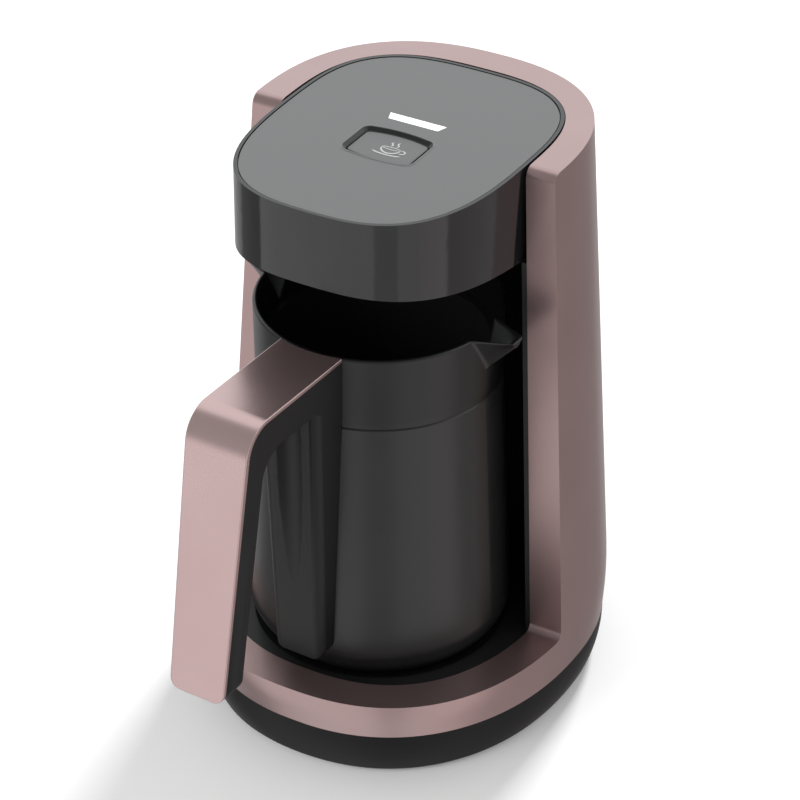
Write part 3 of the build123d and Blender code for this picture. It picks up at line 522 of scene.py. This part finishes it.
SPOUT_TIP_HALF = 3.6 * MM
SPOUT_KEEL_Z = RIM_Z - 16.0 * MM       # the keel meets the collar here
SPOUT_TIP_KEEL_Z = RIM_Z - 2.2 * MM
SPOUT_BLEND = 1.3 * MM                 # how far from the meeting line the two forms run together
SPOUT_SPAN = math.radians(20)
SPOUT_POINTS = 110
PLAIN_POINTS = 80
HALVINGS = 18


def collar_turns():
    """Angles round the collar, close together at the two spouts."""
    plain = math.pi - 2 * SPOUT_SPAN
    turns = []
    for middle in (0, math.pi):
        start, end = middle - SPOUT_SPAN, middle + SPOUT_SPAN
        turns += [start + 2 * SPOUT_SPAN * step / SPOUT_POINTS for step in range(SPOUT_POINTS)]
        turns += [end + plain * step / PLAIN_POINTS for step in range(PLAIN_POINTS)]
    return turns


def spout_half(x, z):
    """Half width of a spout at a distance from the axis and a height."""
    out = min(max((x - SPOUT_ROOT) / (SPOUT_REACH - SPOUT_ROOT), 0), 1)
    half = SPOUT_ROOT_HALF + (SPOUT_TIP_HALF - SPOUT_ROOT_HALF) * out
    climb = (x - RIM_RADIUS) / (SPOUT_REACH - RIM_RADIUS)
    keel = SPOUT_KEEL_Z + (SPOUT_TIP_KEEL_Z - SPOUT_KEEL_Z) * climb
    return half * min(max((z - keel) / (RIM_Z - keel), 0), 1)


def beak_radius(turn, z):
    """How far a spout reaches in a direction at a height, found by halving steps."""
    along, across = abs(math.cos(turn)), abs(math.sin(turn))
    near, far = SPOUT_ROOT, SPOUT_REACH
    if along * RIM_RADIUS < SPOUT_ROOT or across * near / along > spout_half(near, z):
        return 0.0
    for _ in range(HALVINGS):
        middle = (near + far) / 2
        if middle * across / along < spout_half(middle, z):
            near = middle
        else:
            far = middle
    return near / along


def collar_radius(turn, z):
    """Outer radius of the collar, with the spouts run softly into it."""
    share = (z - SEAM_Z) / (RIM_Z - SEAM_Z)
    plain = SEAM_RADIUS + (RIM_RADIUS - SEAM_RADIUS) * share
    beak = beak_radius(turn, z)
    lift = max(SPOUT_BLEND - abs(plain - beak), 0) / SPOUT_BLEND
    return max(plain, beak) + SPOUT_BLEND * lift * lift / 4


def collar_row(form, z, pull=None, radius=None):
    """One ring of points: pulled in from the outside form, or plain round."""
    row = []
    for turn in collar_turns():
        reach = radius if pull is None else collar_radius(turn, z) - pull
        place = (reach * math.cos(turn + POT_TURN), POT_AXIS_Y + reach * math.sin(turn + POT_TURN), z)
        row.append(form.verts.new(place))
    return row


def collar_outside(form):
    """Rows up the outside, from the spigot to where the lip starts to turn in."""
    rows = [collar_row(form, SEAM_Z - SPIGOT_LENGTH, radius=SPIGOT_RADIUS),
            collar_row(form, SEAM_Z, radius=SPIGOT_RADIUS),
            collar_row(form, SEAM_Z, radius=SEAM_RADIUS - SEAM_CHAMFER),
            collar_row(form, SEAM_Z + SEAM_CHAMFER, radius=SEAM_RADIUS)]
    low, high = SPOUT_START_Z, RIM_Z - LIP_ROUND
    for step in range(OUTSIDE_LEVELS + 1):
        rows.append(collar_row(form, low + (high - low) * step / OUTSIDE_LEVELS, pull=0))
    return rows


def collar_lip(form):
    """Rows round the lip and over the small chamfer inside it."""
    rows = []
    for step in range(1, LIP_ROUND_STEPS + 1):
        turn = math.radians(90 * step / LIP_ROUND_STEPS)
        drop, pull = LIP_ROUND * (1 - math.sin(turn)), LIP_ROUND * (1 - math.cos(turn))
        rows.append(collar_row(form, RIM_Z - drop, pull=pull))
    return rows + [collar_row(form, RIM_Z, pull=COLLAR_WALL - INNER_CHAMFER),
                   collar_row(form, RIM_Z - INNER_CHAMFER, pull=COLLAR_WALL)]


def collar_inside(form):
    """Rows down the inside, past the step that the cup's lip sits on."""
    low, high = THROAT_START_Z, THROAT_LIP_Z
    rows = []
    for step in range(INSIDE_LEVELS + 1):
        rows.append(collar_row(form, high + (low - high) * step / INSIDE_LEVELS, pull=COLLAR_WALL))
    return rows + [collar_row(form, STEP_Z, radius=RIM_RADIUS - COLLAR_WALL),
                   collar_row(form, STEP_Z, radius=THROAT_RADIUS),
                   collar_row(form, SEAM_Z - SPIGOT_LENGTH, radius=THROAT_RADIUS)]


def add_soft_collar():
    """The pot's collar, with two spouts that run softly into it and a rounded lip."""
    form = bmesh.new()
    rows = collar_outside(form) + collar_lip(form) + collar_inside(form)
    stitch(form, rows + rows[:1])
    collar = mesh_piece("soft_collar", form)
    smooth_faces(collar, angle=50)
    dress(collar, COLLAR)
    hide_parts("pot_collar")
    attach(collar, "pot")


# ------------------------------------------------------------ finger scoop in the handle
GRIP_LOW, GRIP_HIGH = (Vector(corner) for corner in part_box("handle_body"))
COLUMN_TOP_Z = GRIP_HIGH.z - 13.9 * MM  # roof of the finger gap, where the column starts
COLUMN_FRONT_TOP = 61.5 * MM           # from the pot's axis to the column's front
COLUMN_FRONT_FOOT = 58.0 * MM
SCOOP_RADIUS = 11 * MM
SCOOP_DEPTH = 1.8 * MM
SCOOP_LENGTH = 92 * MM
SCOOP_FADE = 1.25                      # the depth falls by this share of itself over the length
SCOOP_ROOF = 0.4 * MM                  # how far the scoop reaches up into the roof
SCOOP_LEVELS = 24
SCOOP_POINTS = 64


def scoop_form(name):
    """A leaning round form that hollows the column's front and fades out below."""
    lean = (COLUMN_FRONT_TOP - COLUMN_FRONT_FOOT) / (COLUMN_TOP_Z - GRIP_LOW.z)
    rings = []
    for step in range(SCOOP_LEVELS + 1):
        share = step / SCOOP_LEVELS
        z = COLUMN_TOP_Z + SCOOP_ROOF - SCOOP_LENGTH * share
        front = COLUMN_FRONT_TOP - lean * (COLUMN_TOP_Z - z)
        depth = SCOOP_DEPTH * (1 - SCOOP_FADE * share * share)
        ring = []
        for part in range(SCOOP_POINTS):
            turn = 2 * math.pi * part / SCOOP_POINTS
            x = SCOOP_RADIUS * math.cos(turn)
            y = SCOOP_RADIUS * math.sin(turn) - (front + SCOOP_RADIUS - depth)
            ring.append(Vector((x * math.cos(POT_TURN) - y * math.sin(POT_TURN),
                                POT_AXIS_Y + x * math.sin(POT_TURN) + y * math.cos(POT_TURN), z)))
        rings.append(ring)
    return loft(name, rings)


def add_scooped_handle():
    """The handle's body with a shallow scoop for the fingers in its column."""
    form = bmesh.new()
    form.from_mesh(NODES["handle_body"].data)
    bmesh.ops.remove_doubles(form, verts=form.verts, dist=WELD_GAP)
    grip = mesh_piece("scooped_handle", form)
    carve(grip, scoop_form("finger scoop"))
    smooth_faces(grip, angle=34)
    dress(grip, GRIP)
    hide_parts("handle_body")
    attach(grip, "pot")


# ------------------------------------------------------------ frame round the button
LID_TOP = Vector(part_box("lid_panel")[1]).z
OPENING_HALF_X = 13.6 * MM
OPENING_HALF_Y = 10.2 * MM
OPENING_BULGE = 2.0 * MM
OPENING_CORNER = 2.4 * MM
OPENING_CORNER_STEPS = 6
OPENING_CORNER_REACH = 1.2             # the bowed stretch ends this many corner radii from the side
BOW_STEPS = 20
# Sections of the two frames, as (growth, height over the lid's top).
CHAMFER_SECTION = (
    (0.03 * MM, -1.45 * MM), (0.03 * MM, -1.20 * MM),
    (1.20 * MM, -0.05 * MM), (1.20 * MM, -0.40 * MM),
)
RIM_SECTION = (
    (1.15 * MM, -0.35 * MM), (1.15 * MM, 0.08 * MM), (1.27 * MM, 0.18 * MM),
    (1.75 * MM, 0.18 * MM), (2.00 * MM, -0.03 * MM),
)


def opening_outline(grow, height):
    """Outline of the button's opening, grown all round: bowed front and back, rounded corners."""
    x, y = OPENING_HALF_X + grow, OPENING_HALF_Y + grow
    bend = (x * x + OPENING_BULGE ** 2) / (2 * OPENING_BULGE)
    corner = OPENING_CORNER + grow
    lean = math.asin(x / bend)
    left, right = Vector((-x, y - OPENING_BULGE, 0)), Vector((x, y - OPENING_BULGE, 0))
    down, rise = Vector((0, -1, 0)), Vector((math.cos(lean), math.sin(lean), 0))
    edge = rounded_corner(left + down, left, left + rise, corner, OPENING_CORNER_STEPS)
    reach = math.asin((x - OPENING_CORNER_REACH * corner) / bend)
    for step in range(BOW_STEPS + 1):
        turn = reach * (2 * step / BOW_STEPS - 1)
        edge.append(Vector((bend * math.sin(turn), y - bend * (1 - math.cos(turn)), 0)))
    fall = Vector((-rise.x, rise.y, 0))
    edge += rounded_corner(right + fall, right, right + down, corner, OPENING_CORNER_STEPS)
    whole = edge + [Vector((-point.x, -point.y, 0)) for point in edge]
    middle = Vector((0, CAP_CENTRE.y, height))
    return [point + middle for point in whole]


def closed_ring(name, section):
    """A frame with the given section that runs round the opening."""
    form = bmesh.new()
    rows = [[form.verts.new(point) for point in opening_outline(grow, LID_TOP + height)]
            for grow, height in section]
    stitch(form, rows + rows[:1])
    ring = mesh_piece(name, form)
    smooth_faces(ring, angle=25)
    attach(ring, "machine")
    return ring


def add_button_frame():
    """A chamfer that leads down to the button, near-black as painted shade of the groove round it,
    and a fine raised rim outside it.
    """
    chamfer = closed_ring("button_chamfer", CHAMFER_SECTION)
    # its near-black colour is painted shade of the groove round the button
    dress(chamfer, PAINTED_SHADE_WELL)
    rim = closed_ring("button_rim", RIM_SECTION)
    dress(rim, RIM)


# ------------------------------------------------------------ mark on the button
MARK_THICKNESS = 0.12 * MM
MARK_SINK = -0.4                       # the underside, in thicknesses over the cap
TIP_SHARE = 0.35                       # how wide a stroke is at its very end
TAPER = 4.0                            # a stroke is at full width a sixth of the way along it
MARK_PLACE = Vector((1.6 * MM, AXIS_Y - 16.6 * MM, CAP_HIGH.z))


def arc(x, y, across, along, start, end, steps=16):
    """Points in millimetres along part of an ellipse, between two angles in degrees."""
    turns = [math.radians(start + (end - start) * step / steps) for step in range(steps + 1)]
    return [Vector((x + across * math.cos(turn), y + along * math.sin(turn))) for turn in turns]


def wisp(x, low, high, sway, steps=14):
    """A rising curl of steam."""
    shares = [step / steps for step in range(steps + 1)]
    return [Vector((x + sway * math.sin(2 * math.pi * share), low + (high - low) * share))
            for share in shares]


def stroke(form, points, width):
    """A thin raised ribbon along points in millimetres, tapered at both ends."""
    rows = []
    for i, point in enumerate(points):
        ahead = (points[min(i + 1, len(points) - 1)] - points[max(i - 1, 0)]).normalized()
        taper = min(1.0, TIP_SHARE + TAPER * min(i, len(points) - 1 - i) / len(points))
        aside = Vector((-ahead.y, ahead.x)) * (width / 2 * taper)
        row = []
        for spot, lift in ((point + aside, MARK_SINK), (point - aside, MARK_SINK),
                           (point - aside, 1.0), (point + aside, 1.0)):
            raised = Vector((spot.x * MM, spot.y * MM, lift * MARK_THICKNESS))
            row.append(form.verts.new(MARK_PLACE + raised))
        rows.append(row)
    stitch(form, rows)
    close_ends(form, rows)


def add_cup_mark():
    """A small cup, its saucer and steam, printed on the button's cap."""
    strokes = (
        (arc(0, 0.2, 3.9, 3.7, 180, 360), 0.75),
        (arc(0, 0.2, 3.9, 0.8, 0, 360, 24), 0.45),
        (arc(4.6, -0.9, 1.5, 1.2, 120, -110), 0.60),
        (arc(0, -3.2, 6.2, 1.6, 200, 340), 0.75),
        (wisp(-1.2, 1.7, 4.6, 0.5), 0.65),
        (wisp(1.1, 1.7, 5.2, 0.5), 0.65),
    )
    form = bmesh.new()
    for points, width in strokes:
        stroke(form, points, width)
    mark = mesh_piece("cup_mark", form)
    dress(mark, MARK)
    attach(mark, "button")


add_straight_shell()
add_soft_collar()
add_scooped_handle()
add_button_frame()
add_cup_mark()


# ------------------------------------------------------------ floor, lights, camera
# Soft boxes round the studio: from and to azimuth in degrees, counted from the handle's side
# towards the right, and how bright each one is. Between them the studio is dim.
SOFT_BOXES = (
    (-181, -100, 0.50), (-62, 16, 1.03), (16, 44, 0.60), (44, 71, 0.92),
    (71, 102, 1.00), (102, 140, 0.42), (140, 180, 0.32),
)
SOFT_BOX_BLUR = 0.8
STUDIO_DIM = 0.24
STUDIO_CEILING = 1.26
FRONT_CEILING = 0.42
CEILING_LEVEL, CEILING_BLUR = -0.02, 0.22      # where the walls turn into the ceiling
BACK_LEVEL, BACK_BLUR = 0.04, 0.14             # where the ceiling's front turns into its back
COOL_CEILING = rgb(0.96, 1.0, 1.0)
WARM_SIDE = rgb(1.0, 0.93, 0.92)
WARM_FROM, WARM_BLUR = 71, 5                   # azimuths in degrees
WHITE = rgb(1, 1, 1)
DAYLIGHT = 0.62
FLOOR_SIZE = 12.0
FLOOR_GLOW = 0.15
LIGHTS_AIM = (0, 0, 0.12)
# Each light: its name, its place, its width and height, and its power in watts.
LIGHTS = (
    ("window", (-0.55, -1.1, 0.75), 0.8, 0.8, 7),
    ("back_light", (-0.20, 2.20, 1.95), 0.50, 0.50, 72),
)


def add_floor():
    bpy.ops.mesh.primitive_plane_add(size=FLOOR_SIZE, location=(0, 0, 0))
    floor = bpy.context.object
    floor.name = "floor"
    floor.visible_glossy = False
    made = Finish("pale_floor", Specular_IOR_Level=0.0, Emission_Strength=FLOOR_GLOW)
    cloud = made.noise(0.4, 2.0)
    made.colour(made.blend(cloud, rgb(0.80, 0.80, 0.80), rgb(0.83, 0.83, 0.83)))
    made.feed(made.skin.inputs["Emission Color"],
              made.blend(cloud, rgb(0.97, 0.97, 0.97), WHITE))
    made.roughness(cloud * 0.1 + 0.8)
    dress(floor, made.material)


def add_light(name, place, width, height, power):
    lamp = bpy.data.lights.new(name, "AREA")
    lamp.shape = "RECTANGLE"
    lamp.size, lamp.size_y, lamp.energy = width, height, power
    holder = bpy.data.objects.new(name, lamp)
    holder.location = place
    holder.rotation_mode = "QUATERNION"
    holder.rotation_quaternion = (Vector(LIGHTS_AIM) - Vector(place)).to_track_quat("-Z", "Y")
    holder.visible_glossy = False
    bpy.context.scene.collection.objects.link(holder)


class Studio(Finish):
    """The room: soft boxes that shine in gloss, and even daylight for all else."""

    def __init__(self):
        self.material = bpy.data.worlds.new("studio")
        self.material.use_nodes = True
        self.tree = self.material.node_tree
        self.skin = self.tree.nodes["Background"]

    def direction(self, axis):
        towards = self.node("ShaderNodeTexCoord", output="Generated")
        return self.node("ShaderNodeSeparateXYZ", None, {"Vector": towards}, output=axis)

    def gloss(self):
        """Brightness and tint of what gloss shows in each direction."""
        right, back, up = (self.direction(axis) for axis in ("X", "Y", "Z"))
        turn = right.math("ARCTAN2", back * -1) * (180 / math.pi)
        level = STUDIO_DIM
        for start, end, bright in SOFT_BOXES:
            inside = turn.above(start, SOFT_BOX_BLUR) * (1 - turn.above(end, SOFT_BOX_BLUR))
            level = inside * (bright - STUDIO_DIM) + level
        overhead = up.above(CEILING_LEVEL, CEILING_BLUR)
        behind = back.above(BACK_LEVEL, BACK_BLUR)
        ceiling = behind * (STUDIO_CEILING - FRONT_CEILING) + FRONT_CEILING
        sides = self.blend(turn.above(WARM_FROM, WARM_BLUR), WHITE, WARM_SIDE)
        tint = self.blend(overhead, sides, COOL_CEILING)
        return overhead * ceiling + (1 - overhead) * level, tint


def add_studio():
    room = Studio()
    glossy = room.node("ShaderNodeLightPath", output="Is Glossy Ray")
    shine, tint = room.gloss()
    room.feed(room.skin.inputs["Strength"], glossy * shine + (1 - glossy) * DAYLIGHT)
    room.feed(room.skin.inputs["Color"], room.blend(glossy, WHITE, tint))
    bpy.context.scene.world = room.material
    bpy.context.scene.view_settings.view_transform = "Standard"


# Angle, distance and lens of the view, and how far the aimed-at point lies beside the head.
VIEW_AZIMUTH = math.radians(29.95)
VIEW_ELEVATION = math.radians(32.89)
VIEW_DISTANCE = 1.230
VIEW_LENS = 143.1
AIM_RIGHT = -3.78 * MM
AIM_HEIGHT = 116.04 * MM
AIM_BEHIND_HEAD = 10.05 * MM


def add_camera():
    data = bpy.data.cameras.new("camera")
    data.lens, data.sensor_width = VIEW_LENS, 36.0
    data.clip_start, data.clip_end = 0.05, 30
    sin_a, cos_a = math.sin(VIEW_AZIMUTH), math.cos(VIEW_AZIMUTH)
    sin_e, cos_e = math.sin(VIEW_ELEVATION), math.cos(VIEW_ELEVATION)
    back = Vector((sin_a * cos_e, -cos_a * cos_e, sin_e))
    right = Vector((cos_a, sin_a, 0))
    camera = bpy.data.objects.new("camera", data)
    aim_y = (HEAD_LOW.y + HEAD_HIGH.y) / 2 + AIM_BEHIND_HEAD
    camera.location = right * AIM_RIGHT + Vector((0, aim_y, AIM_HEIGHT)) + back * VIEW_DISTANCE
    camera.rotation_mode = "QUATERNION"
    camera.rotation_quaternion = (-back).to_track_quat("-Z", "Y")
    bpy.context.scene.collection.objects.link(camera)
    bpy.context.scene.camera = camera


add_floor()
for light in LIGHTS:
    add_light(*light)
add_studio()
add_camera()
